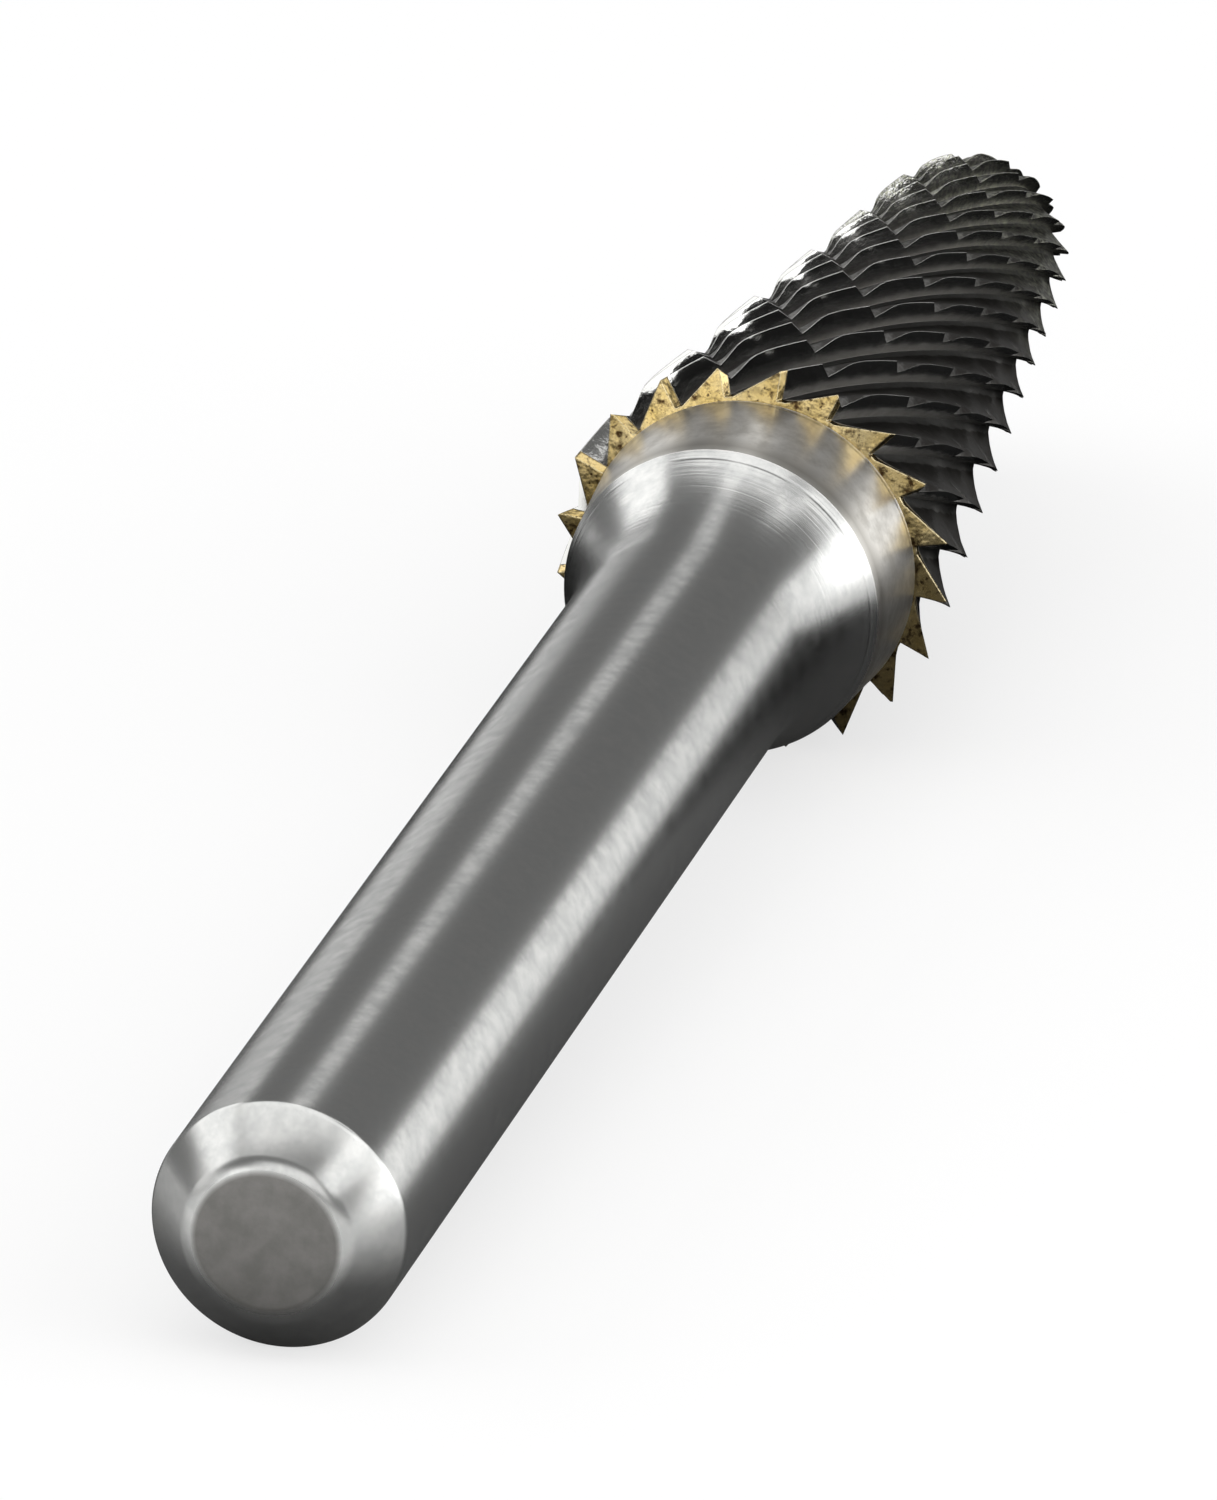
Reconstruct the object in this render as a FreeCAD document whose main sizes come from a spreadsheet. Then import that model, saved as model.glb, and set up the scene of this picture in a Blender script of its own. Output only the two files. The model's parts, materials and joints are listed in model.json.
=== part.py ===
import FreeCAD, Part
import math
import os

import Sketcher
from FreeCAD import Placement, Rotation, Vector

# Tungsten carbide rotary burr with a ball-nosed cone head, double cut.
#
# The burr is modelled along +X, from the centre of the shank's free end at the origin to the nose.
# Its placement then tilts it as it rests on a level table, +Z up: on the rim of the shank's end and
# on two neighbouring teeth at the widest ring.
#
# shank         steel, turned in one piece with the flare and the collar
# braze_layer   thin brass-coloured joint between the collar and the head, ground with the teeth
# carbide_head  ground carbide: right-hand main teeth, crossed by left-hand chip-breaking grooves

CONE_STEPS = 5
NOSE_STEPS = 3

# name, value (mm, degrees or a count), what it is
SIZES = (
    ("shank_diameter", 6.0, "ground shank, held in the collet"),
    ("shank_length", 45.0, "free end to the braze"),
    ("end_chamfer", 1.15, "45 degree chamfer on the free end"),
    ("flare_length", 4.1, "hollow flare from the shank up to the ridge"),
    ("ridge_diameter", 7.9, "where the flare meets the collar"),
    ("collar_length", 3.1, "slightly tapered collar from the ridge to the braze"),
    ("collar_diameter", 8.35, "collar at the braze"),
    ("collar_bevel", 0.15, "broken front edge of the collar"),
    ("braze_thickness", 0.25, "sandwich braze between collar and head"),
    ("head_diameter", 10.0, "over the teeth at the widest ring"),
    ("head_length", 25.0, "carbide from the braze to the top of the nose"),
    ("nose_radius", 2.6, "ball nose"),
    ("nose_flat", 1.0, "diameter where the teeth run together on the nose"),
    ("tooth_count", 20, "main teeth round the head"),
    ("tooth_helix", 25.0, "right-hand angle of the main teeth to the axis"),
    ("tooth_depth", 0.8, "main gullet at the widest ring"),
    ("gullet_width", 0.25, "narrow floor of the main gullet at the widest ring"),
    ("groove_count", 10, "chip-breaking grooves round the head"),
    ("groove_helix", 26.3, "left-hand angle of the grooves to the axis"),
    ("groove_depth", 0.42, "grooves at the widest ring"),
    ("groove_rear_slope", 32.0, "groove wall that faces the shank"),
    ("groove_nose_slope", 50.0, "groove wall that faces the nose"),
    ("groove_phase", 13.0, "angle of the first groove at the widest ring"),
)

doc = FreeCAD.newDocument("carbide_burr")
sheet = doc.addObject("Spreadsheet::Sheet", "sizes")
for row, (alias, value, note) in enumerate(SIZES, start=1):
    sheet.set(f"A{row}", alias)
    sheet.set(f"B{row}", str(value))
    sheet.set(f"C{row}", note)
    sheet.setAlias(f"B{row}", alias)
doc.recompute()


def size(alias):
    """Value of one driving size."""
    return float(sheet.get(alias))


# ---------------------------------------------------------------- rest on the table

REST_ANGLE = (
    "atan((sizes.head_diameter / 2 * cos(180deg / sizes.tooth_count) - sizes.shank_diameter / 2)"
    " / (sizes.shank_length - sizes.end_chamfer))"
)


def lay_down(piece):
    """Tilt a finished piece about the shank's end until rim and teeth are level."""
    piece.Placement = Placement(Vector(0, 0, 0), Rotation(Vector(0, -1, 0), 1))
    piece.setExpression("Placement.Rotation.Angle", REST_ANGLE)


# ---------------------------------------------------------------- shank


def origin_plane(body, role):
    """The body's own origin plane with that role."""
    return next(f for f in body.Origin.OriginFeatures if f.Role == role)


def build_shank():
    """Half profile above the axis, turned once round it."""
    body = doc.addObject("PartDesign::Body", "shank")
    body.Label = "shank"
    sketch = body.newObject("Sketcher::SketchObject", "shank_profile")
    sketch.AttachmentSupport = (origin_plane(body, "XY_Plane"), [""])
    sketch.MapMode = "FlatFace"

    radius = size("shank_diameter") / 2
    ridge = size("ridge_diameter") / 2
    collar = size("collar_diameter") / 2
    chamfer = size("end_chamfer")
    bevel = size("collar_bevel")
    length = size("shank_length")
    ridge_x = length - size("collar_length")
    flare_x = ridge_x - size("flare_length")
    bow = (size("flare_length") ** 2 + (ridge - radius) ** 2) / (2 * (ridge - radius))
    sweep = math.asin(size("flare_length") / bow) / 2
    flare_middle = Vector(
        flare_x + bow * math.sin(sweep), radius + bow * (1 - math.cos(sweep)), 0
    )
    corners = [
        Vector(0, 0, 0),
        Vector(0, radius - chamfer, 0),
        Vector(chamfer, radius, 0),
        Vector(flare_x, radius, 0),
        Vector(ridge_x, ridge, 0),
        Vector(length - bevel, collar, 0),
        Vector(length, collar - bevel, 0),
        Vector(length, 0, 0),
    ]
    end_face, end_slope, barrel, flare, taper, break_edge, front_face, axis = range(len(corners))
    for edge, (start, end) in enumerate(zip(corners, corners[1:] + corners[:1])):
        if edge == flare:
            sketch.addGeometry(Part.Arc(start, flare_middle, end), False)
        else:
            sketch.addGeometry(Part.LineSegment(start, end), False)

    for edge in range(len(corners)):
        joint = "Tangent" if edge == barrel else "Coincident"
        follower = (edge + 1) % len(corners)
        sketch.addConstraint(Sketcher.Constraint(joint, edge, 2, follower, 1))
    sketch.addConstraint(Sketcher.Constraint("Coincident", end_face, 1, -1, 1))
    for edge in (end_face, front_face):
        sketch.addConstraint(Sketcher.Constraint("Vertical", edge))
    for edge in (barrel, axis):
        sketch.addConstraint(Sketcher.Constraint("Horizontal", edge))

    # Each measured constraint runs from one edge's end, or the origin, to another edge's end.
    measures = (
        ("DistanceX", end_face, end_slope, "sizes.end_chamfer"),
        ("DistanceY", end_face, end_slope, "sizes.end_chamfer"),
        ("DistanceY", None, end_slope, "sizes.shank_diameter / 2"),
        ("DistanceX", barrel, flare, "sizes.flare_length"),
        ("DistanceY", None, flare, "sizes.ridge_diameter / 2"),
        ("DistanceX", flare, break_edge, "sizes.collar_length"),
        ("DistanceY", None, taper, "sizes.collar_diameter / 2"),
        ("DistanceX", taper, break_edge, "sizes.collar_bevel"),
        ("DistanceY", break_edge, taper, "sizes.collar_bevel"),
        ("DistanceX", None, break_edge, "sizes.shank_length"),
    )
    ends = [corners[(edge + 1) % len(corners)] for edge in range(len(corners))]
    for kind, first, second, formula in measures:
        start = Vector(0, 0, 0) if first is None else ends[first]
        reach = ends[second] - start
        value = reach.x if kind == "DistanceX" else reach.y
        origin = (-1, 1) if first is None else (first, 2)
        index = sketch.addConstraint(Sketcher.Constraint(kind, *origin, second, 2, value))
        sketch.setExpression(f"Constraints[{index}]", formula)

    turned = body.newObject("PartDesign::Revolution", "turned_shank")
    turned.Profile = sketch
    turned.ReferenceAxis = (sketch, ["H_Axis"])
    turned.Angle = 360
    body.Tip = turned
    return body


# ---------------------------------------------------------------- form of the head

RING_RADIUS = size("head_diameter") / 2
BRAZE = size("braze_thickness")
NOSE = size("nose_radius")
NOSE_CENTRE = BRAZE + size("head_length") - NOSE
TAPER = math.asin(RING_RADIUS / math.hypot(NOSE_CENTRE, RING_RADIUS)) - math.asin(
    NOSE / math.hypot(NOSE_CENTRE, RING_RADIUS)
)
CONE_END = NOSE_CENTRE + NOSE * math.sin(TAPER)
FLAT_LATITUDE = math.acos(size("nose_flat") / 2 / NOSE)


def head_radius(along):
    """Radius over the teeth, at a distance from the rear of the braze."""
    if along <= CONE_END:
        return RING_RADIUS - along * math.tan(TAPER)
    return math.sqrt(NOSE**2 - (along - NOSE_CENTRE) ** 2)


def turn(along, helix):
    """Angle in radians that a line has turned through at a constant, signed helix angle."""
    lead = math.tan(math.radians(helix))
    if along <= CONE_END:
        return lead / math.tan(TAPER) * math.log(RING_RADIUS / head_radius(along))
    latitude = math.asin((along - NOSE_CENTRE) / NOSE)
    climb = math.tan(math.pi / 4 + latitude / 2) / math.tan(math.pi / 4 + TAPER / 2)
    return turn(CONE_END, helix) + lead * math.log(climb)


def stations(start, last_latitude):
    """Distances along the head, closer together where it is thin, up to a latitude on the nose."""
    shrink = head_radius(CONE_END) / head_radius(start)
    cone = [
        (RING_RADIUS - head_radius(start) * shrink ** (step / CONE_STEPS)) / math.tan(TAPER)
        for step in range(CONE_STEPS)
    ]
    rise = last_latitude - TAPER
    nose = [
        NOSE_CENTRE + NOSE * math.sin(TAPER + rise * step / NOSE_STEPS)
        for step in range(NOSE_STEPS + 1)
    ]
    return cone + nose


def edge_point(edge, helix, along):
    """Where an edge, given as its share of the radius and its first angle, crosses a station."""
    share, angle = edge
    radius = share * head_radius(along)
    angle += turn(along, helix)
    return Vector(size("shank_length") + along, radius * math.cos(angle), radius * math.sin(angle))


def outline(edges, helix, along):
    """Closed polygon through all edges at one station."""
    corners = [edge_point(edge, helix, along) for edge in edges]
    return Part.makePolygon(corners + corners[:1])


def climbing_solid(edges, helix, crossings):
    """Solid between two stations whose edges all climb the head at one helix angle."""
    curves = []
    for edge in edges:
        curve = Part.BSplineCurve()
        curve.interpolate(
            Points=[edge_point(edge, helix, along) for along in crossings],
            Parameters=[abs(turn(along, helix)) + along for along in crossings],
        )
        curves.append(curve)
    faces = [Part.Face(outline(edges, helix, along)) for along in (crossings[0], crossings[-1])]
    for first, second in zip(curves, curves[1:] + curves[:1]):
        surface = Part.BSplineSurface()
        surface.buildFromPolesMultsKnots(
            [first.getPoles(), second.getPoles()],
            [2, 2], first.getMultiplicities(),
            [0, 1], first.getKnots(),
            False, False, 1, first.Degree,
        )
        faces.append(surface.toShape())
    skin = Part.makeCompound(faces)
    skin.sewShape()
    solid = Part.makeSolid(skin.Shells[0])
    if solid.Volume < 0:
        solid.reverse()
    return solid


# ---------------------------------------------------------------- main teeth

TEETH = int(size("tooth_count"))
TOOTH_PITCH = 2 * math.pi / TEETH
ROOT_SHARE = 1 - size("tooth_depth") / RING_RADIUS
FLOOR = size("gullet_width") / RING_RADIUS

# Per tooth: its cutting edge, then the two edges of the gullet floor behind its back. The rake
# faces look along the cutting direction, and two teeth share the bottom of the ring.
TOOTH_EDGES = [
    (share, (0.5 - tooth - lag) * TOOTH_PITCH + shift)
    for tooth in range(TEETH)
    for share, lag, shift in ((1.0, 0.0, 0.0), (ROOT_SHARE, 1.0, FLOOR), (ROOT_SHARE, 1.0, 0.0))
]


def fluted_cone():
    """Carbide with its main teeth only."""
    return climbing_solid(TOOTH_EDGES, size("tooth_helix"), stations(BRAZE, FLAT_LATITUDE))


def fluted_ring():
    """The same teeth where they run out through the braze."""
    ends = [outline(TOOTH_EDGES, size("tooth_helix"), along) for along in (0, BRAZE)]
    return Part.makeLoft(ends, True, True)


# ---------------------------------------------------------------- chip-breaking grooves

CLEAR = 0.4
DEPTH_SHARE = size("groove_depth") / RING_RADIUS
CLEAR_SHARE = CLEAR / RING_RADIUS


def groove_cutters():
    """Vee cutters, open past the tooth edges, that wind the other way round the head."""
    pitch = 2 * math.pi / size("groove_count")
    opening = (DEPTH_SHARE + CLEAR_SHARE) / math.cos(math.radians(size("groove_helix")))
    rear_reach = opening / math.tan(math.radians(size("groove_rear_slope")))
    nose_reach = opening / math.tan(math.radians(size("groove_nose_slope")))
    crossings = stations(-CLEAR, (FLAT_LATITUDE + math.pi / 2) / 2)
    cutters = []
    for groove in range(int(size("groove_count"))):
        bottom = math.radians(size("groove_phase")) + groove * pitch
        edges = [
            (1 - DEPTH_SHARE, bottom),
            (1 + CLEAR_SHARE, bottom + rear_reach),
            (1 + CLEAR_SHARE, bottom - nose_reach),
        ]
        cutters.append(climbing_solid(edges, -size("groove_helix"), crossings))
    return Part.makeCompound(cutters)


# ---------------------------------------------------------------- document


def plain_shape(name, shape):
    """Helper solid that a boolean of the document uses."""
    feature = doc.addObject("Part::Feature", name)
    feature.Shape = shape
    return feature


def cut_piece(name, blank, cutters):
    """Blank less the grooves."""
    piece = doc.addObject("Part::Cut", name)
    piece.Label = name
    piece.Base = blank
    piece.Tool = cutters
    return piece


cutters = plain_shape("groove_cutters", groove_cutters())
pieces = [
    build_shank(),
    cut_piece("braze_layer", plain_shape("braze_blank", fluted_ring()), cutters),
    cut_piece("carbide_head", plain_shape("fluted_blank", fluted_cone()), cutters),
]
for piece in pieces:
    lay_down(piece)
doc.recompute()

faults = [item.Name for item in doc.Objects if {"Invalid", "Error"} & set(item.State)]
for piece in pieces:
    if piece.Shape.isNull() or not piece.Shape.isValid() or len(piece.Shape.Solids) != 1:
        faults.append(piece.Label)
if faults:
    raise RuntimeError("failed: " + ", ".join(faults))

os.makedirs("parts", exist_ok=True)
for piece in pieces:
    piece.Shape.exportStep(f"parts/{piece.Label}.step")
    box = piece.Shape.optimalBoundingBox(False)
    print(
        f"{piece.Label}: {piece.Shape.Volume:.2f} mm3, {len(piece.Shape.Faces)} faces, "
        f"x {box.XMin:.2f}..{box.XMax:.2f}, z {box.ZMin:.3f}..{box.ZMax:.3f}"
    )
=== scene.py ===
import json
import logging
import math
from dataclasses import dataclass, field
from enum import Enum

import bpy
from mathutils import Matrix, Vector


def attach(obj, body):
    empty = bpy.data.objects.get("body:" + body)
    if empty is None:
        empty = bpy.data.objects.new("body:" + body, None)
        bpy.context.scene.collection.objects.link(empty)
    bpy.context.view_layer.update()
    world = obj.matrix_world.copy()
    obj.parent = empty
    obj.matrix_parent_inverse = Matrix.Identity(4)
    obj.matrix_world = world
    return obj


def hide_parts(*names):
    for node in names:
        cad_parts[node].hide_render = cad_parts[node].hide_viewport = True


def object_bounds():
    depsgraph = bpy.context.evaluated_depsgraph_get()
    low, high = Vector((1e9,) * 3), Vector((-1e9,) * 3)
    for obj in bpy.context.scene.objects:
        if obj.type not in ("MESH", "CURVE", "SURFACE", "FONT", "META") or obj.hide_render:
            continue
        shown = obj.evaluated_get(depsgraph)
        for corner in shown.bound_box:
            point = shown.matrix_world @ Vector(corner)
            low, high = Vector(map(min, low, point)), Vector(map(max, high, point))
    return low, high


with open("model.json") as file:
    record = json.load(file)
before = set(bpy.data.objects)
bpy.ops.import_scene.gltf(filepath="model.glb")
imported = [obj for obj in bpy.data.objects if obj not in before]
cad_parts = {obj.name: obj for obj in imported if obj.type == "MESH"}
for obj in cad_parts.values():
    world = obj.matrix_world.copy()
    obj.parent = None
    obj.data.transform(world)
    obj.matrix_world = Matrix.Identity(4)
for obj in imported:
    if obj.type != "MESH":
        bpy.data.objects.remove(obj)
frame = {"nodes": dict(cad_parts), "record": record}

LOG = logging.getLogger("carbide_burr")
CAD_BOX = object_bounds()
MM = 0.001
BODY = "root"
MOUNTS = {mount["name"]: mount for mount in frame["record"]["mounts"]}
AXIS = -Vector(MOUNTS["shank"]["axis"]).normalized()
FLOOR_Z = CAD_BOX[0].z
FAR = 1.0  # metres, well past either end of the burr
BEVEL_SAMPLES = 6
SKY_SAMPLES = 8

Socket = bpy.types.NodeSocket
Value = float | tuple | Vector | Socket
Colour = tuple[float, float, float, float]
Point = tuple[float, float, float]
Pair = tuple[float, float]


class WearAndSheen(Enum):
    """How strongly the edges of a ground surface have brightened: partly rubbed, partly painted
    highlight.
    """

    FAINT = 0.1
    STRONG = 0.6


def deselect_all() -> None:
    """Leave nothing selected."""
    bpy.ops.object.select_all(action="DESELECT")


def pick(piece: bpy.types.Object) -> None:
    """Select one object and make it the active one.

    Args:
        piece: the object to work on.
    """
    deselect_all()
    piece.select_set(True)
    bpy.context.view_layer.objects.active = piece


# ------------------------------------------------------------------ node helpers


class NodeSheet:
    """Adds and links the nodes of one material or group."""

    def __init__(self, tree: bpy.types.NodeTree) -> None:
        """Keep the tree that the nodes go in.

        Args:
            tree: an empty node tree.
        """
        self.tree = tree

    def feed(self, node: bpy.types.Node, inputs: dict[str | int, Value]) -> None:
        """Set or link a node's inputs.

        Args:
            node: the node.
            inputs: values or output sockets by input name or number.
        """
        for key, value in inputs.items():
            if isinstance(value, Socket):
                self.tree.links.new(value, node.inputs[key])
            else:
                node.inputs[key].default_value = value

    def add(self, kind: str, inputs: dict[str | int, Value] | None = None,
            **settings: object) -> bpy.types.Node:
        """Add a node, set its properties, and set or link its inputs.

        Args:
            kind: the node's type name without its "ShaderNode" start.
            inputs: values or output sockets by input name or number.
            **settings: properties of the node, such as its operation.

        Returns:
            The new node.
        """
        name = kind if kind.startswith("NodeGroup") else "ShaderNode" + kind
        node = self.tree.nodes.new(name)
        for key, value in settings.items():
            setattr(node, key, value)
        self.feed(node, inputs or {})
        return node

    def math(self, operation: str, *values: Value) -> Socket:
        """Work out one number.

        Args:
            operation: the Math node's operation.
            *values: its operands, numbers or sockets.

        Returns:
            The result's socket.
        """
        inputs = dict(enumerate(values))
        return self.add("Math", inputs, operation=operation).outputs[0]

    def vector(self, operation: str, *values: Value) -> Socket:
        """Work out one vector.

        Args:
            operation: the Vector Math node's operation.
            *values: its operands, vectors or sockets.

        Returns:
            The result's socket.
        """
        inputs = dict(enumerate(values))
        return self.add("VectorMath", inputs, operation=operation).outputs[0]

    def dot(self, first: Value, second: Value) -> Socket:
        """Work out the dot product of two vectors.

        Args:
            first: a vector or its socket.
            second: a vector or its socket.

        Returns:
            The product's socket.
        """
        inputs = {0: first, 1: second}
        return self.add("VectorMath", inputs, operation="DOT_PRODUCT").outputs["Value"]

    def position(self) -> Socket:
        """Read the place on the object.

        Returns:
            The object coordinates' socket.
        """
        return self.add("TexCoord").outputs["Object"]

    def blend(self, factor: Value, first: Value, second: Value) -> Socket:
        """Mix two colours.

        Args:
            factor: how much of the second, a number or a socket.
            first: the colour at 0.
            second: the colour at 1.

        Returns:
            The mixed colour's socket.
        """
        node = self.add("Mix", {0: factor, 6: first, 7: second}, data_type="RGBA")
        return node.outputs[2]

    def ramp(self, value: Socket, low: Value, high: Value,
             start: float = 0.0, end: float = 1.0) -> Socket:
        """Spread a range of a value evenly over another range, held at its ends.

        Args:
            value: the socket to read.
            low: the value that gives start.
            high: the value that gives end.
            start: the result at low.
            end: the result at high.

        Returns:
            The result's socket.
        """
        inputs = {0: value, 1: low, 2: high, 3: start, 4: end}
        return self.add("MapRange", inputs, clamp=True).outputs[0]

    def group(self, tree: bpy.types.NodeTree,
              inputs: dict[str | int, Value] | None = None) -> bpy.types.Node:
        """Place a node group.

        Args:
            tree: the group.
            inputs: values or sockets by input name.

        Returns:
            The group's node.
        """
        return self.add("Group", inputs, node_tree=tree)


def new_group(name: str, inputs: dict[str, float], outputs: tuple[str, ...]
              ) -> tuple[NodeSheet, bpy.types.Node, bpy.types.Node]:
    """Start a shader node group of plain numbers.

    Args:
        name: the group's name.
        inputs: default value by input name.
        outputs: names of the numbers it puts out.

    Returns:
        A sheet to add its nodes with, its input node and its output node.
    """
    tree = bpy.data.node_groups.new(name, "ShaderNodeTree")
    for label, value in inputs.items():
        socket = tree.interface.new_socket(label, in_out="INPUT", socket_type="NodeSocketFloat")
        socket.default_value = value
    for label in outputs:
        tree.interface.new_socket(label, in_out="OUTPUT", socket_type="NodeSocketFloat")
    sheet = NodeSheet(tree)
    return sheet, sheet.add("NodeGroupInput"), sheet.add("NodeGroupOutput")


# ------------------------------------------------------------------ shared effects


@dataclass
class Effects:
    """Node groups that the finishes share, and the numbers held inside them."""

    worn_lean: Pair = (0.995, 0.90)
    noise_roughness: float = 0.6
    drift_scale: float = 300.0
    drift_detail: float = 2.0
    ring_detail: float = 3.0
    mottle_detail: float = 4.0
    patch_range: Pair = (0.35, 0.65)
    speck_level: float = 0.75
    speck_drop: float = 0.4
    speck_blend: float = 0.02
    speck_gain: float = 8.0
    marks: bpy.types.NodeTree = field(init=False)
    mottle: bpy.types.NodeTree = field(init=False)
    band: bpy.types.NodeTree = field(init=False)
    edge: bpy.types.NodeTree = field(init=False)
    lean: bpy.types.NodeTree = field(init=False)

    def __post_init__(self) -> None:
        """Build the groups once."""
        self.marks = self.build_marks()
        self.mottle = self.build_mottle()
        self.band = self.build_band()
        self.edge = self.build_edge()
        self.lean = self.build_lean()

    def build_marks(self) -> bpy.types.NodeTree:
        """Rings that a turning or grinding tool leaves round the axis.

        Returns:
            A group with Pitch (m) and Waver in, and Height out.
        """
        sheet, given, result = new_group(
            "grinding_marks", {"Pitch": 0.0001, "Waver": 0.1}, ("Height",)
        )
        place = sheet.position()
        drift = sheet.add("TexNoise", {
            "Vector": place, "Scale": self.drift_scale, "Detail": self.drift_detail,
        })
        shift = sheet.math("MULTIPLY", drift.outputs[0], given.outputs["Waver"])
        turns = sheet.math("DIVIDE", sheet.dot(place, AXIS), given.outputs["Pitch"])
        noise = sheet.add("TexNoise", {
            "W": sheet.math("ADD", turns, shift), "Scale": 1.0,
            "Detail": self.ring_detail, "Roughness": self.noise_roughness,
        }, noise_dimensions="1D")
        sheet.feed(result, {"Height": noise.outputs[0]})
        return sheet.tree

    def build_mottle(self) -> bpy.types.NodeTree:
        """Cloudy patches with small specks in them.

        Returns:
            A group with Patch and Speck sizes (m) and Share in, and Patches and Specks out.
        """
        sheet, given, result = new_group(
            "mottle", {"Patch": 0.002, "Speck": 0.0002, "Share": 0.3}, ("Patches", "Specks")
        )
        place = sheet.position()
        clouds = self.add_clouds(sheet, place, given.outputs["Patch"])
        grains = self.add_clouds(sheet, place, given.outputs["Speck"])
        reach = sheet.math("MULTIPLY", given.outputs["Share"], self.speck_drop)
        edge = sheet.math("SUBTRACT", self.speck_level, reach)
        over = sheet.math("SUBTRACT", grains, edge)
        over = sheet.math("SMOOTH_MAX", over, 0.0, self.speck_blend)
        sheet.feed(result, {
            "Patches": sheet.ramp(clouds, *self.patch_range),
            "Specks": sheet.math("MULTIPLY", over, self.speck_gain),
        })
        return sheet.tree

    def add_clouds(self, sheet: NodeSheet, place: Socket, size: Socket) -> Socket:
        """Add noise of one feature size.

        Args:
            sheet: the group's sheet.
            place: the coordinates' socket.
            size: the features' size (m).

        Returns:
            The noise's socket.
        """
        scale = sheet.math("DIVIDE", 1.0, size)
        noise = sheet.add("TexNoise", {
            "Vector": place, "Scale": scale,
            "Detail": self.mottle_detail, "Roughness": self.noise_roughness,
        })
        return noise.outputs[0]

    def build_band(self) -> bpy.types.NodeTree:
        """A stretch of the axis.

        Returns:
            A group with From, To and Blend (m, from the free end) in, and Mask out.
        """
        sheet, given, result = new_group(
            "axial_band", {"From": 0.0, "To": 0.001, "Blend": 0.0001}, ("Mask",)
        )
        low, high, blend = (given.outputs[name] for name in ("From", "To", "Blend"))
        along = sheet.dot(sheet.position(), AXIS)
        rise = sheet.math("DIVIDE", sheet.math("SUBTRACT", along, low), blend)
        fall = sheet.math("DIVIDE", sheet.math("SUBTRACT", high, along), blend)
        inside = sheet.math("MINIMUM", rise, fall)
        sheet.feed(result, {"Mask": sheet.ramp(inside, -0.5, 0.5)})
        return sheet.tree

    def build_edge(self) -> bpy.types.NodeTree:
        """How far a rounded normal leans from the face it lies on.

        Returns:
            A group with Lean (the two normals' dot product) and Wear in, and Mask out.
        """
        sheet, given, result = new_group("edge_wear_and_sheen", {"Lean": 1.0, "WearAndSheen": 0.5}, ("Mask",))
        lean = sheet.ramp(given.outputs["Lean"], *self.worn_lean)
        mask = sheet.math("MULTIPLY", lean, given.outputs["WearAndSheen"])
        sheet.feed(result, {"Mask": mask})
        return sheet.tree

    def build_lean(self) -> bpy.types.NodeTree:
        """Which way a face looks: away from the axis, or towards the free end.

        Returns:
            A group with Low and High (cosines) in, and Outward, Rearward and Radial out.
        """
        sheet, given, result = new_group(
            "face_lean", {"Low": 0.3, "High": 0.7}, ("Outward", "Rearward")
        )
        sheet.tree.interface.new_socket(
            "Radial", in_out="OUTPUT", socket_type="NodeSocketVector"
        )
        limits = given.outputs["Low"], given.outputs["High"]
        place = sheet.position()
        along = sheet.vector("PROJECT", place, AXIS)
        radial = sheet.vector("NORMALIZE", sheet.vector("SUBTRACT", place, along))
        normal = sheet.add("NewGeometry").outputs["True Normal"]
        rearward = sheet.math("MULTIPLY", sheet.dot(AXIS, normal), -1.0)
        sheet.feed(result, {
            "Outward": sheet.ramp(sheet.dot(radial, normal), *limits),
            "Rearward": sheet.ramp(rearward, *limits),
            "Radial": radial,
        })
        return sheet.tree


@dataclass(frozen=True)
class Band:
    """A stretch of the axis with soft ends, in metres from the free end."""

    start: float
    end: float
    blend: float

    def mask(self, sheet: NodeSheet, effects: Effects) -> Socket:
        """Place the band in a material.

        Args:
            sheet: the material's sheet.
            effects: the shared node groups.

        Returns:
            The mask's socket.
        """
        inputs = {"From": self.start, "To": self.end, "Blend": self.blend}
        return sheet.group(effects.band, inputs).outputs["Mask"]


@dataclass(frozen=True)
class Mottling:
    """Sizes of the patches and specks of one material, and the specks' share."""

    patch: float
    speck: float
    share: float

    def place(self, sheet: NodeSheet, effects: Effects) -> bpy.types.Node:
        """Place the mottle in a material.

        Args:
            sheet: the material's sheet.
            effects: the shared node groups.

        Returns:
            The group's node.
        """
        inputs = {"Patch": self.patch, "Speck": self.speck, "Share": self.share}
        return sheet.group(effects.mottle, inputs)


def rounded(sheet: NodeSheet, effects: Effects, radius: float, wear_and_sheen: WearAndSheen
            ) -> tuple[Socket, Socket]:
    """Round a piece's edges in its shading, and mask them for brightening that is partly rubbing
    and partly painted highlight.

    Args:
        sheet: the material's sheet.
        effects: the shared node groups.
        radius: how far the rounding reaches (m).
        wear_and_sheen: how much the edges have brightened.

    Returns:
        The rounded normal's socket and the edge mask's socket.
    """
    bevel = sheet.add("Bevel", {"Radius": radius}, samples=BEVEL_SAMPLES)
    flat = sheet.add("NewGeometry").outputs["True Normal"]
    lean = sheet.dot(bevel.outputs[0], flat)
    edge = sheet.group(effects.edge, {"Lean": lean, "WearAndSheen": wear_and_sheen.value})
    return bevel.outputs[0], edge.outputs["Mask"]


def new_material(name: str) -> tuple[bpy.types.Material, NodeSheet, bpy.types.Node]:
    """Start a material on the Principled shader.

    Args:
        name: the material's name.

    Returns:
        The material, a sheet for its nodes, and its Principled node.
    """
    material = bpy.data.materials.new(name)
    material.use_nodes = True
    shader = material.node_tree.nodes["Principled BSDF"]
    return material, NodeSheet(material.node_tree), shader


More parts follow.
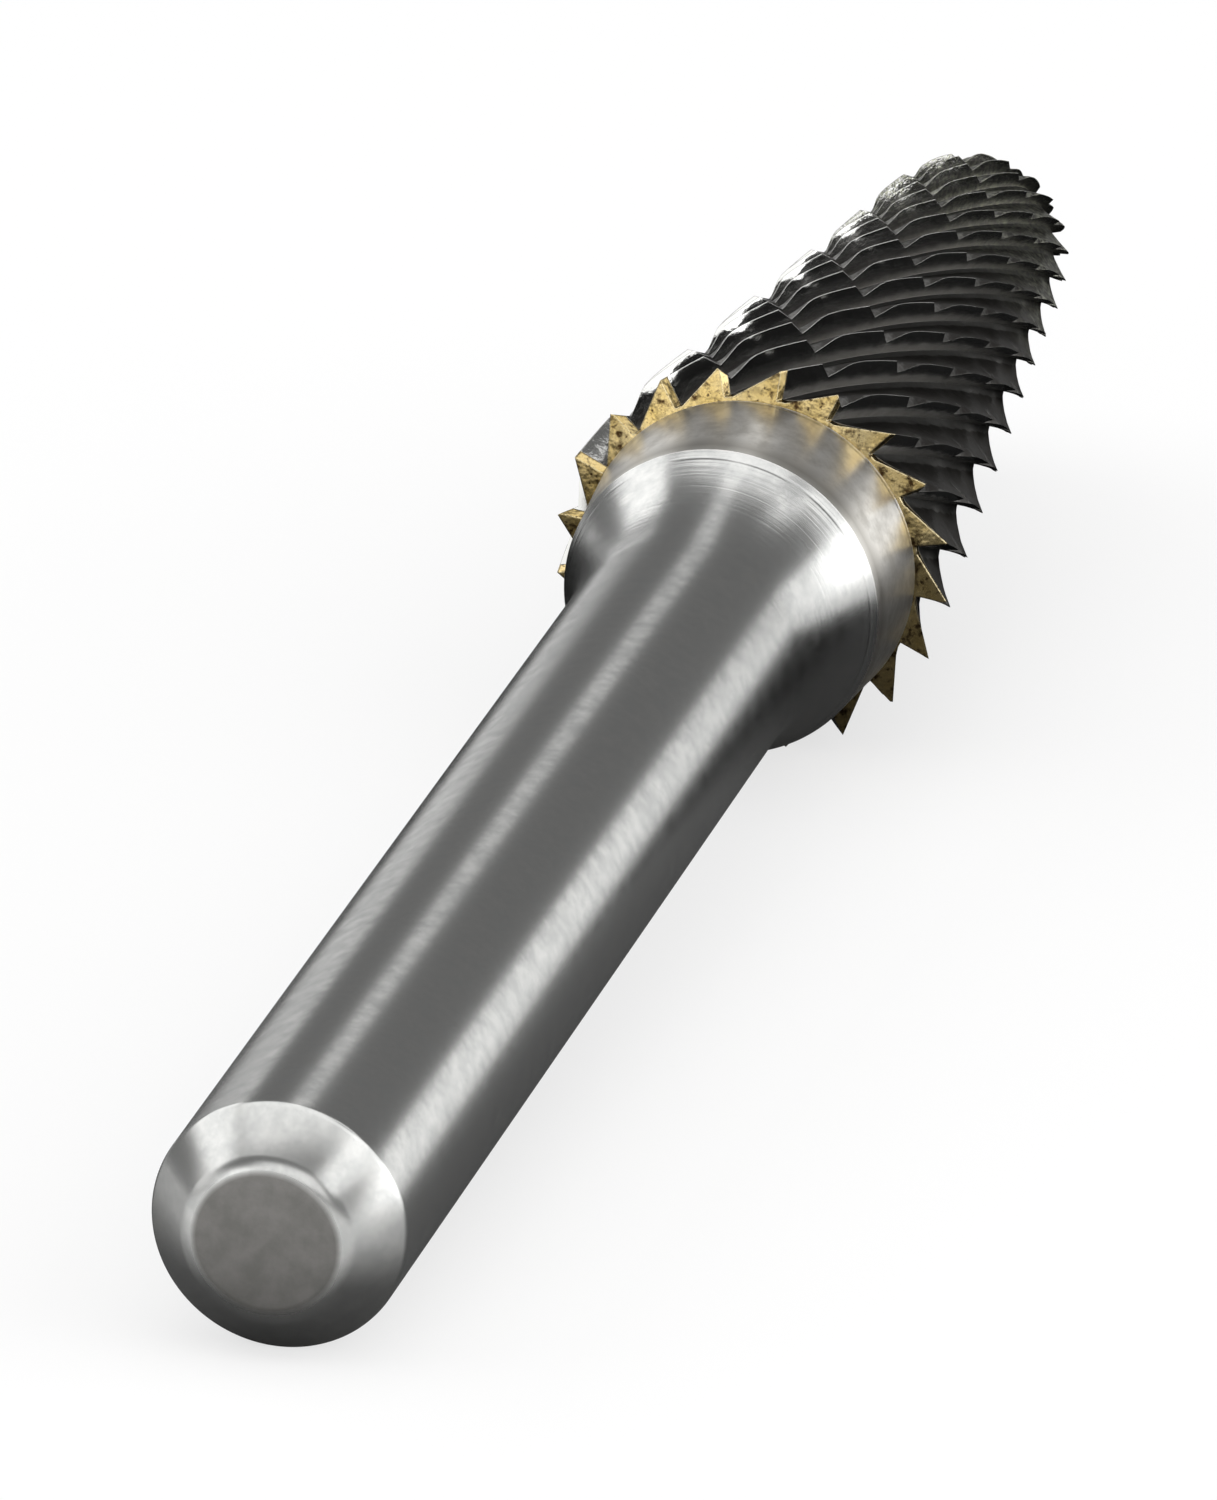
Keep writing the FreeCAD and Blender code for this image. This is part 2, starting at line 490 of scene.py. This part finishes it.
@dataclass(frozen=True)
class SteelFinish:
    """Ground barrel, turned and heat-stained collar with painted shade next to its ridge, dull
    sawn end face.
    """

    clean: Colour = (0.60, 0.60, 0.585, 1.0)
    cloudy: Colour = (0.51, 0.515, 0.505, 1.0)
    heated: Colour = (0.92, 0.90, 0.855, 1.0)
    soot_and_shade: Colour = (0.53, 0.51, 0.465, 1.0)
    sawn: Colour = (0.25, 0.243, 0.232, 1.0)
    sawn_dark: Colour = (0.21, 0.207, 0.195, 1.0)
    roughness: float = 0.22
    collar_roughness: float = 0.31
    sawn_roughness: float = 0.5
    cloud_roughness: float = 0.05
    collar_band: Band = Band(41.9 * MM, FAR, 0.08 * MM)
    turned_band: Band = Band(37.8 * MM, FAR, 2.0 * MM)
    sawn_band: Band = Band(-FAR, 0.03 * MM, 0.04 * MM)
    mottling: Mottling = Mottling(0.55 * MM, 0.15 * MM, 0.3)
    # Dark bands on the collar: the first is painted shade next to the ridge, the second darkens
    # the rim by the braze.
    dark_bands: tuple[Band, ...] = (
        Band(41.9 * MM, 42.5 * MM, 0.7 * MM), Band(44.78 * MM, 45.2 * MM, 0.1 * MM),
    )
    cloud_soot: float = 0.8
    mark_pitch: float = 0.11 * MM
    mark_waver: float = 0.6
    mark_height: float = 0.004 * MM
    barrel_marks: float = 0.03
    dent_share: float = 0.055
    turned_lines: tuple[tuple[Band, float], ...] = (
        (Band(41.60 * MM, 41.68 * MM, 0.05 * MM), -1.6),
        (Band(44.68 * MM, 44.80 * MM, 0.05 * MM), -6.0),
    )

    def build(self, effects: Effects) -> bpy.types.Material:
        """Make the material.

        Args:
            effects: the shared node groups.

        Returns:
            The steel material.
        """
        material, sheet, shader = new_material("shank_steel")
        collar = self.collar_band.mask(sheet, effects)
        turned = self.turned_band.mask(sheet, effects)
        sawn = self.sawn_band.mask(sheet, effects)
        clouds = self.mottling.place(sheet, effects).outputs["Patches"]
        sheet.feed(shader, {
            "Base Color": self.tint(sheet, effects, clouds, collar, sawn),
            "Roughness": self.roughen(sheet, clouds, collar, sawn),
            "Metallic": 1.0,
            "Normal": self.mark(sheet, effects, clouds, turned),
        })
        return material

    def tint(self, sheet: NodeSheet, effects: Effects, clouds: Socket, collar: Socket,
             sawn: Socket) -> Socket:
        """Colour the barrel, the stained collar with its painted shade by the ridge, and the end
        face.

        Args:
            sheet: the material's sheet.
            effects: the shared node groups.
            clouds: the patches' socket.
            collar: the collar's mask.
            sawn: the end face's mask.

        Returns:
            The colour's socket.
        """
        barrel = sheet.blend(clouds, self.clean, self.cloudy)
        # The first dark band is painted shade next to the ridge; the clouds are stains.
        lines = sheet.math("MAXIMUM", *(line.mask(sheet, effects) for line in self.dark_bands))
        shade = sheet.math("MAXIMUM", sheet.math("MULTIPLY", clouds, self.cloud_soot), lines)
        stained = sheet.blend(shade, self.heated, self.soot_and_shade)
        face = sheet.blend(clouds, self.sawn, self.sawn_dark)
        return sheet.blend(sawn, sheet.blend(collar, barrel, stained), face)

    def roughen(self, sheet: NodeSheet, clouds: Socket, collar: Socket, sawn: Socket) -> Socket:
        """Set how rough each part of the shank is.

        Args:
            sheet: the material's sheet.
            clouds: the patches' socket.
            collar: the collar's mask.
            sawn: the end face's mask.

        Returns:
            The roughness's socket.
        """
        patchy = sheet.math("MULTIPLY", clouds, self.cloud_roughness)
        rough = sheet.math("ADD", patchy, self.roughness)
        for mask, level in ((collar, self.collar_roughness), (sawn, self.sawn_roughness)):
            extra = sheet.math("MULTIPLY", mask, level - self.roughness)
            rough = sheet.math("ADD", rough, extra)
        return rough

    def mark(self, sheet: NodeSheet, effects: Effects, clouds: Socket,
             turned: Socket) -> Socket:
        """Raise the tool's rings, faint dents and the two turned lines.

        Args:
            sheet: the material's sheet.
            effects: the shared node groups.
            clouds: the patches' socket.
            turned: the turned part's mask.

        Returns:
            The normal's socket.
        """
        inputs = {"Pitch": self.mark_pitch, "Waver": self.mark_waver}
        rings = sheet.group(effects.marks, inputs).outputs["Height"]
        strength = sheet.ramp(turned, 0.0, 1.0, self.barrel_marks, 1.0)
        height = sheet.math("MULTIPLY", rings, strength)
        height = sheet.math("MULTIPLY_ADD", clouds, self.dent_share, height)
        for line, depth in self.turned_lines:
            height = sheet.math("MULTIPLY_ADD", line.mask(sheet, effects), depth, height)
        bump = sheet.add("Bump", {"Height": height, "Distance": self.mark_height})
        return bump.outputs[0]


@dataclass(frozen=True)
class BrazeFinish:
    """Ground brass-coloured braze with brown specks and pale edges, partly rubbed and partly
    painted highlight.
    """

    gold: Colour = (0.54, 0.395, 0.145, 1.0)
    pale: Colour = (0.97, 0.88, 0.62, 1.0)
    brown: Colour = (0.06, 0.032, 0.012, 1.0)
    roughness: float = 0.24
    edge_radius: float = 0.06 * MM
    large: Mottling = Mottling(1.3 * MM, 0.35 * MM, 0.55)
    small: Mottling = Mottling(0.4 * MM, 0.14 * MM, 0.45)
    patch_share: float = 0.25
    ripple: float = 0.03 * MM
    crown: float = 0.32

    def build(self, effects: Effects) -> bpy.types.Material:
        """Make the material.

        Args:
            effects: the shared node groups.

        Returns:
            The braze material.
        """
        material, sheet, shader = new_material("braze")
        normal, edge = rounded(sheet, effects, self.edge_radius, WearAndSheen.STRONG)
        radial = sheet.group(effects.lean).outputs["Radial"]
        crowned = sheet.vector("MULTIPLY_ADD", radial, (self.crown,) * 3, normal)
        crowned = sheet.vector("NORMALIZE", crowned)
        large = self.large.place(sheet, effects)
        small = self.small.place(sheet, effects)
        patchy = sheet.math("MULTIPLY", large.outputs["Patches"], self.patch_share)
        # Pale at the edges, partly rubbed and partly painted highlight, and in random patches.
        pale = sheet.math("MAXIMUM", edge, patchy)
        specks = sheet.math("MAXIMUM", small.outputs["Specks"], large.outputs["Specks"])
        specks = sheet.math("MINIMUM", specks, 1.0)
        colour = sheet.blend(specks, sheet.blend(pale, self.gold, self.pale), self.brown)
        bump = sheet.add("Bump", {
            "Height": large.outputs["Patches"], "Distance": self.ripple, "Normal": crowned,
        })
        sheet.feed(shader, {
            "Base Color": colour, "Roughness": self.roughness, "Metallic": 1.0,
            "Normal": bump.outputs[0],
        })
        return material


@dataclass(frozen=True)
class CarbideFinish:
    """Ground sintered carbide: polished rake faces, dull backs, grooves and gullets, toned with
    painted shade and light.
    """

    rake: Colour = (0.62, 0.62, 0.60, 1.0)
    # Painted shade: the gullets' tone darkens recesses that ambient occlusion finds, the
    # near-black back tone covers faces that look away from the axis, and the tone for
    # reflections turns the carbide near black where another surface mirrors it. Painted light:
    # the groove tone, lighter than the backs, covers outward faces that look towards the free
    # end. The edges' tone is partly rubbing and partly painted highlight.
    gullet_shade: Colour = (0.22, 0.21, 0.195, 1.0)
    back: Colour = (0.06, 0.056, 0.051, 1.0)
    groove: Colour = (0.2, 0.2, 0.19, 1.0)
    between: Colour = (0.012, 0.012, 0.012, 1.0)
    floor: Colour = (0.23, 0.226, 0.215, 1.0)
    worn_and_sheen: Colour = (0.50, 0.50, 0.48, 1.0)
    speck_tone: Colour = (0.37, 0.375, 0.31, 1.0)
    rake_roughness: float = 0.08
    dull_roughness: float = 0.4
    mottling: Mottling = Mottling(0.35 * MM, 0.12 * MM, 0.75)
    nose_band: Band = Band(63.0 * MM, FAR, 6.0 * MM)
    gullet_reach: float = 0.9 * MM
    gullet_sky: Pair = (0.62, 0.42)
    back_lean: Pair = (0.3, 0.5)
    floor_lean: Pair = (0.89, 0.94)
    edge_radius: float = 0.018 * MM
    grain_height: float = 0.012 * MM
    rake_grain: float = 0.15
    damping: float = 0.9

    def build(self, effects: Effects) -> bpy.types.Material:
        """Make the material.

        Args:
            effects: the shared node groups.

        Returns:
            The carbide material.
        """
        material, sheet, shader = new_material("carbide")
        normal, edge = rounded(sheet, effects, self.edge_radius, WearAndSheen.FAINT)
        mottle = self.mottling.place(sheet, effects)
        nose = self.nose_band.mask(sheet, effects)
        # Painted shade in recesses, found by ambient occlusion.
        sky = sheet.add("AmbientOcclusion", {"Distance": self.gullet_reach}, samples=SKY_SAMPLES)
        recess_shade = sheet.ramp(sky.outputs["AO"], *self.gullet_sky)
        lean = self.place_lean(sheet, effects, self.back_lean)
        back = lean.outputs["Outward"]
        groove = sheet.math("MULTIPLY", back, lean.outputs["Rearward"])
        floor = self.place_lean(sheet, effects, self.floor_lean).outputs["Outward"]
        # Lighter greenish specks on the nose.
        nose_specks = sheet.math("MULTIPLY", mottle.outputs["Specks"], nose)
        # Painted shade in reflections: where another surface mirrors the carbide, it turns near
        # black and mostly loses its metal, except on faces that look straight outward.
        mirrored = sheet.math("MULTIPLY", sheet.add("LightPath").outputs["Is Glossy Ray"],
                              sheet.math("SUBTRACT", 1.0, floor))
        colour = self.rake
        for mask, tone in (
            (recess_shade, self.gullet_shade), (back, self.back), (groove, self.groove), (floor, self.floor),
            (edge, self.worn_and_sheen), (nose_specks, self.speck_tone), (mirrored, self.between),
        ):
            colour = sheet.blend(mask, colour, tone)
        dull = sheet.math("MAXIMUM", back, recess_shade)
        strength = sheet.ramp(
            sheet.math("MAXIMUM", dull, nose), 0.0, 1.0, self.rake_grain, 1.0
        )
        bump = sheet.add("Bump", {
            "Height": sheet.math("MULTIPLY", mottle.outputs["Patches"], strength),
            "Distance": self.grain_height, "Normal": normal,
        })
        sheet.feed(shader, {
            "Base Color": colour,
            "Roughness": sheet.ramp(dull, 0.0, 1.0, self.rake_roughness, self.dull_roughness),
            "Metallic": sheet.math("MULTIPLY_ADD", mirrored, -self.damping, 1.0),
            "Normal": bump.outputs[0],
            "Specular IOR Level": 0.0,
        })
        return material

    def place_lean(self, sheet: NodeSheet, effects: Effects, limits: Pair) -> bpy.types.Node:
        """Sort the faces by which way they look.

        Args:
            sheet: the material's sheet.
            effects: the shared node groups.
            limits: the cosines where the masks start and are full.

        Returns:
            The group's node.
        """
        return sheet.group(effects.lean, {"Low": limits[0], "High": limits[1]})


# ------------------------------------------------------------------ pieces


@dataclass
class Shank:
    """Turned steel shank with its flare and collar, standing for the node of that name.

    The ridge between the flare and the collar stays sharp.
    """

    radius: float = 3.0 * MM
    length: float = 45.0 * MM
    end_chamfer: float = 1.15 * MM
    flare_length: float = 4.1 * MM
    ridge_radius: float = 3.95 * MM
    collar_length: float = 3.1 * MM
    collar_radius: float = 4.175 * MM
    collar_bevel: float = 0.15 * MM
    rim_round: float = 0.12 * MM  # half the slope of the collar's bevel holds it to 0.106 mm
    end_round: float = 0.32 * MM
    end_reach: float = 0.012 * MM
    rim_angle: float = 35.0
    smooth_angle: float = 20.0
    rim_segments: int = 4
    end_segments: int = 7
    sides: int = 160
    flare_steps: int = 12
    ring_merge: float = 1e-7
    rim_merge: float = 0.003 * MM

    def stations(self) -> list[tuple[float, float]]:
        """Distance from the free end and radius of each ring after the end face.

        Returns:
            The rings in order, from the chamfer to the front face.
        """
        ridge = self.length - self.collar_length
        start = ridge - self.flare_length
        rise = self.ridge_radius - self.radius
        bow = (self.flare_length**2 + rise**2) / (2 * rise)
        sweep = math.asin(self.flare_length / bow)
        rings = [(self.end_chamfer, self.radius), (start, self.radius)]
        for step in range(1, self.flare_steps + 1):
            angle = sweep * step / self.flare_steps
            rings.append(
                (start + bow * math.sin(angle), self.radius + bow * (1 - math.cos(angle)))
            )
        rings.append((self.length - self.collar_bevel, self.collar_radius))
        rings.append((self.length, self.collar_radius - self.collar_bevel))
        return rings

    def build(self) -> bpy.types.Object:
        """Draw the shank, round its rims and lay it along the burr's axis.

        Returns:
            The finished piece, with its place in its mesh.
        """
        piece = self.draw()
        self.round_end(piece)
        self.round_rims(piece)
        piece.rotation_euler = (0.0, -math.atan2(AXIS.z, AXIS.x), 0.0)
        bpy.ops.object.transform_apply(location=False, rotation=True, scale=False)
        bpy.ops.object.shade_smooth_by_angle(angle=math.radians(self.smooth_angle))
        return piece

    def draw(self) -> bpy.types.Object:
        """Draw the end face and pull it out ring by ring.

        Returns:
            The shank along x, with sharp rims.
        """
        deselect_all()
        last_x, last_r = 0.0, self.radius - self.end_chamfer
        bpy.ops.mesh.primitive_circle_add(
            vertices=self.sides, radius=last_r, fill_type="NGON",
            rotation=(0.0, -math.pi / 2, 0.0),
        )
        piece = bpy.context.active_object
        piece.name = piece.data.name = "turned_shank"
        bpy.ops.object.transform_apply(location=False, rotation=True, scale=False)
        bpy.ops.object.mode_set(mode="EDIT")
        bpy.ops.mesh.select_all(action="SELECT")
        bpy.ops.mesh.duplicate()
        for ring_x, ring_r in self.stations():
            bpy.ops.mesh.extrude_region_move(
                TRANSFORM_OT_translate={"value": (ring_x - last_x, 0.0, 0.0)}
            )
            ratio = ring_r / last_r
            bpy.ops.transform.resize(value=(ratio, ratio, ratio), center_override=(ring_x, 0, 0))
            last_x, last_r = ring_x, ring_r
        bpy.ops.mesh.select_all(action="SELECT")
        bpy.ops.mesh.remove_doubles(threshold=self.ring_merge)
        bpy.ops.mesh.normals_make_consistent(inside=False)
        bpy.ops.object.mode_set(mode="OBJECT")
        return piece

    def round_end(self, piece: bpy.types.Object) -> None:
        """Round the rim of the end face.

        Args:
            piece: the shank along x.
        """
        bpy.ops.object.mode_set(mode="EDIT")
        bpy.ops.mesh.select_mode(type="EDGE")
        bpy.ops.mesh.select_all(action="DESELECT")
        bpy.ops.object.mode_set(mode="OBJECT")
        points = piece.data.vertices
        for edge in piece.data.edges:
            edge.select = all(points[index].co.x < self.end_reach for index in edge.vertices)
        bpy.ops.object.mode_set(mode="EDIT")
        bpy.ops.mesh.bevel(offset=self.end_round, segments=self.end_segments)
        bpy.ops.object.mode_set(mode="OBJECT")

    def round_rims(self, piece: bpy.types.Object) -> None:
        """Round the rims of the chamfer and the collar, and merge where two of them meet.

        Args:
            piece: the shank along x.
        """
        bevel = piece.modifiers.new("rims", "BEVEL")
        bevel.width = self.rim_round
        bevel.segments = self.rim_segments
        bevel.limit_method = "ANGLE"
        bevel.angle_limit = math.radians(self.rim_angle)
        bpy.ops.object.modifier_apply(modifier=bevel.name)
        bpy.ops.object.mode_set(mode="EDIT")
        bpy.ops.mesh.select_all(action="SELECT")
        bpy.ops.mesh.remove_doubles(threshold=self.rim_merge)
        bpy.ops.object.mode_set(mode="OBJECT")

    def dress(self, piece: bpy.types.Object, finish: bpy.types.Material) -> None:
        """Give the shank its finish and hang it on the frame.

        Args:
            piece: the shank.
            finish: the steel material.
        """
        piece.data.materials.append(finish)
        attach(piece, BODY)
        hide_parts("shank")


@dataclass
class GroundPiece:
    """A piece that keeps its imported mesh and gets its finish."""

    node: str

    def dress(self, finish: bpy.types.Material) -> bpy.types.Object:
        """Put the finish in the piece's slots.

        Args:
            finish: the material.

        Returns:
            The dressed piece.
        """
        piece = frame["nodes"][self.node]
        for slot in piece.material_slots:
            slot.material = finish
        return piece


@dataclass
class GroundHead:
    """Head with its tooth tops rounded, standing for the node of that name."""

    node: str = "carbide_head"
    sharp_angle: float = 40.0
    levels: int = 1
    merge: float = 0.002 * MM

    def build(self) -> bpy.types.Object:
        """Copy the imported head, merge it, hold its tooth edges and round the rest.

        Returns:
            The finished piece.
        """
        piece = bpy.data.objects.new("ground_head", frame["nodes"][self.node].data.copy())
        piece.data.name = piece.name
        bpy.context.scene.collection.objects.link(piece)
        pick(piece)
        bpy.ops.object.mode_set(mode="EDIT")
        bpy.ops.mesh.select_all(action="SELECT")
        bpy.ops.mesh.remove_doubles(threshold=self.merge)
        bpy.ops.mesh.customdata_custom_splitnormals_clear()
        bpy.ops.mesh.select_mode(type="EDGE")
        bpy.ops.mesh.select_all(action="DESELECT")
        bpy.ops.mesh.edges_select_sharp(sharpness=math.radians(self.sharp_angle))
        bpy.ops.transform.edge_crease(value=1.0)
        bpy.ops.object.mode_set(mode="OBJECT")
        rounding = piece.modifiers.new("rounding", "SUBSURF")
        rounding.levels = rounding.render_levels = self.levels
        bpy.ops.object.modifier_apply(modifier=rounding.name)
        bpy.ops.object.shade_smooth_by_angle(angle=math.radians(self.sharp_angle))
        return piece

    def dress(self, piece: bpy.types.Object, finish: bpy.types.Material) -> None:
        """Give the head its finish and hang it on the frame.

        Args:
            piece: the head.
            finish: the carbide material.
        """
        piece.data.materials.clear()
        piece.data.materials.append(finish)
        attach(piece, BODY)
        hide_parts(self.node)


# ------------------------------------------------------------------ studio


@dataclass(frozen=True)
class Softbox:
    """One soft rectangular lamp, and the direction in which it shines."""

    name: str
    place: Point
    size: Pair
    radiance: float
    facing: Point

    def build(self) -> None:
        """Hang the lamp with a power that gives its radiance."""
        width, height = self.size
        lamp = bpy.data.lights.new(self.name, "AREA")
        lamp.shape = "RECTANGLE"
        lamp.size, lamp.size_y = width, height
        lamp.energy = self.radiance * math.pi * width * height
        holder = bpy.data.objects.new(self.name, lamp)
        bpy.context.scene.collection.objects.link(holder)
        holder.location = self.place
        holder.rotation_euler = Vector(self.facing).to_track_quat("-Z", "Y").to_euler()


SOFTBOXES = (
    Softbox("overhead", (0.0, 0.09, 0.6), (0.64, 0.72), 1.3, (0, 0, -1)),
    Softbox("overhead_rear", (-0.1, -0.385, 0.6), (0.44, 0.23), 1.3, (0, 0, -1)),
    Softbox("overhead_front", (0.345, -0.385, 0.6), (0.19, 0.23), 1.3, (0, 0, -1)),
    Softbox("right_far", (0.74, -0.5, 0.125), (0.68, 0.25), 1.15, (0, 1, 0)),
    Softbox("right_wall", (0.1, -0.5, 0.125), (0.6, 0.25), 2.3, (0, 1, 0)),
    Softbox("right_high", (-0.2, -0.5, 0.44), (0.96, 0.38), 1.5, (0, 1, 0)),
    Softbox("behind", (-0.9, -0.05, 0.39), (0.85, 0.52), 1.2, (1, 0, 0)),
    Softbox("behind_left", (-0.9, 0.56, 0.18), (0.37, 0.34), 1.8, (1, 0, 0)),
    Softbox("left_back", (-0.32, 0.5, 0.13), (0.5, 0.2), 0.8, (0, -1, 0)),
    Softbox("left_wall", (0.21, 0.5, 0.4), (1.0, 0.4), 1.5, (0, -1, 0)),
    Softbox("left_far", (0.95, 0.5, 0.22), (0.18, 0.45), 0.74, (0, -1, 0)),
    Softbox("far_strip", (0.69, 0.066, 0.73), (0.14, 0.8), 0.66, (-0.69, -0.066, -0.72)),
)


def lay_plane(name: str, low: Pair, high: Pair, height: float, grey: float
              ) -> tuple[bpy.types.Object, NodeSheet, bpy.types.Node]:
    """Lay a level matt sheet.

    Args:
        name: its name.
        low: its lowest x and y (m).
        high: its highest x and y (m).
        height: its z (m).
        grey: its brightness.

    Returns:
        The sheet, a sheet for its material's nodes, and its Principled node.
    """
    deselect_all()
    bpy.ops.mesh.primitive_plane_add(size=1.0)
    sheet = bpy.context.active_object
    sheet.name = name
    sheet.scale = (high[0] - low[0], high[1] - low[1], 1.0)
    sheet.location = ((low[0] + high[0]) / 2, (low[1] + high[1]) / 2, height)
    bpy.ops.object.transform_apply(location=True, rotation=False, scale=True)
    material, nodes, shader = new_material(name)
    nodes.feed(shader, {
        "Base Color": (grey, grey, grey, 1.0), "Roughness": 1.0, "Specular IOR Level": 0.0,
    })
    sheet.data.materials.append(material)
    return sheet, nodes, shader


@dataclass(frozen=True)
class ReflectedShadowCard:
    """Card of painted shadow on the floor that only reflections see, in place of the pale floor.

    It fades out sideways, in a band that widens from the shank's free end.
    """

    low: Pair = (-8.0 * MM, -30.0 * MM)
    high: Pair = (170.0 * MM, 90.0 * MM)
    lift: float = 0.02 * MM
    grey: float = 0.006
    widening: Pair = (0.0, 30.0 * MM)
    half_width: Pair = (3.0 * MM, 30.0 * MM)
    fade_ratio: Pair = (1.0, 3.0)
    outer_share: float = 0.5
    head_start: Pair = (40.0 * MM, 50.0 * MM)
    shank_share: float = 0.88
    free_end: Pair = (-6.0 * MM, -1.0 * MM)

    def build(self) -> None:
        """Lay the card and fade it."""
        card, nodes, shader = lay_plane(
            "reflected_shadow_card", self.low, self.high, FLOOR_Z + self.lift, self.grey
        )
        parts = nodes.add("SeparateXYZ", {0: nodes.position()})
        length, side = parts.outputs["X"], parts.outputs["Y"]
        width = nodes.ramp(length, *self.widening, *self.half_width)
        ratio = nodes.math("DIVIDE", nodes.math("ABSOLUTE", side), width)
        across = nodes.ramp(ratio, *self.fade_ratio, 1.0, self.outer_share)
        near_head = nodes.ramp(length, *self.head_start, self.shank_share, 1.0)
        along = nodes.math("MULTIPLY", nodes.ramp(length, *self.free_end), near_head)
        nodes.feed(shader, {"Alpha": nodes.math("MULTIPLY", across, along)})
        # Only reflections see the card, so it paints the burr's shadow into them.
        card.visible_camera = False
        card.visible_diffuse = False
        card.visible_shadow = False


@dataclass
class Studio:
    """Pale floor, a card of painted shadow that only reflections see, soft lamps, even
    surroundings and camera.
    """

    floor_size: float = 6.0
    floor_grey: float = 0.97
    seen_share: float = 0.7
    mirrored_share: float = 0.12
    surroundings: float = 0.18
    azimuth: float = 75.54
    elevation: float = 18.66
    distance: float = 0.4808
    lens: float = 595.8
    sensor_width: float = 36.0
    clip: Pair = (0.01, 20.0)
    target: Point = (30.902 * MM, 0.0, 1.62 * MM)

    def build_floor(self) -> None:
        """Lay the floor, part of whose white is its own for the camera and for reflections."""
        reach = self.floor_size / 2
        _, nodes, shader = lay_plane(
            "floor", (-reach, -reach), (reach, reach), FLOOR_Z, self.floor_grey
        )
        light_path = nodes.add("LightPath")
        seen = nodes.math("MULTIPLY", light_path.outputs["Is Camera Ray"], self.seen_share)
        share = nodes.math(
            "MULTIPLY_ADD", light_path.outputs["Is Glossy Ray"], self.mirrored_share, seen
        )
        white = nodes.add("Emission", {"Strength": 1.0})
        mixed = nodes.add("MixShader", {0: share, 1: shader.outputs[0], 2: white.outputs[0]})
        nodes.feed(nodes.tree.nodes["Material Output"], {"Surface": mixed.outputs[0]})

    def build_world(self) -> None:
        """Fill the surroundings with an even grey."""
        world = bpy.data.worlds.new("studio")
        world.use_nodes = True
        bpy.context.scene.world = world
        background = world.node_tree.nodes["Background"]
        background.inputs["Color"].default_value = (*[self.surroundings] * 3, 1.0)

    def build_camera(self) -> None:
        """Set the camera at its distance and angles from its target."""
        azimuth, elevation = math.radians(self.azimuth), math.radians(self.elevation)
        forward = Vector((
            math.sin(azimuth) * math.cos(elevation),
            math.cos(azimuth) * math.cos(elevation),
            -math.sin(elevation),
        ))
        data = bpy.data.cameras.new("camera")
        data.lens = self.lens
        data.sensor_width = self.sensor_width
        data.sensor_fit = "HORIZONTAL"
        data.clip_start, data.clip_end = self.clip
        camera = bpy.data.objects.new("camera", data)
        bpy.context.scene.collection.objects.link(camera)
        camera.location = Vector(self.target) - forward * self.distance
        camera.rotation_euler = forward.to_track_quat("-Z", "Y").to_euler()
        bpy.context.scene.camera = camera

    def build(self) -> None:
        """Build all of the studio."""
        self.build_floor()
        ReflectedShadowCard().build()
        self.build_world()
        for softbox in SOFTBOXES:
            softbox.build()
        self.build_camera()
        bpy.context.scene.view_settings.view_transform = "Standard"


def main() -> None:
    """Build, dress and light the burr."""
    effects = Effects()
    shank = Shank()
    piece = shank.build()
    shank.dress(piece, SteelFinish().build(effects))
    LOG.info("turned_shank: %d faces", len(piece.data.polygons))
    head = GroundHead()
    piece = head.build()
    head.dress(piece, CarbideFinish().build(effects))
    LOG.info("ground_head: %d faces", len(piece.data.polygons))
    piece = GroundPiece("braze_layer").dress(BrazeFinish().build(effects))
    LOG.info("%s: %d faces", piece.name, len(piece.data.polygons))
    Studio().build()


if __name__ == "__main__":
    logging.basicConfig(level=logging.INFO)
    main()
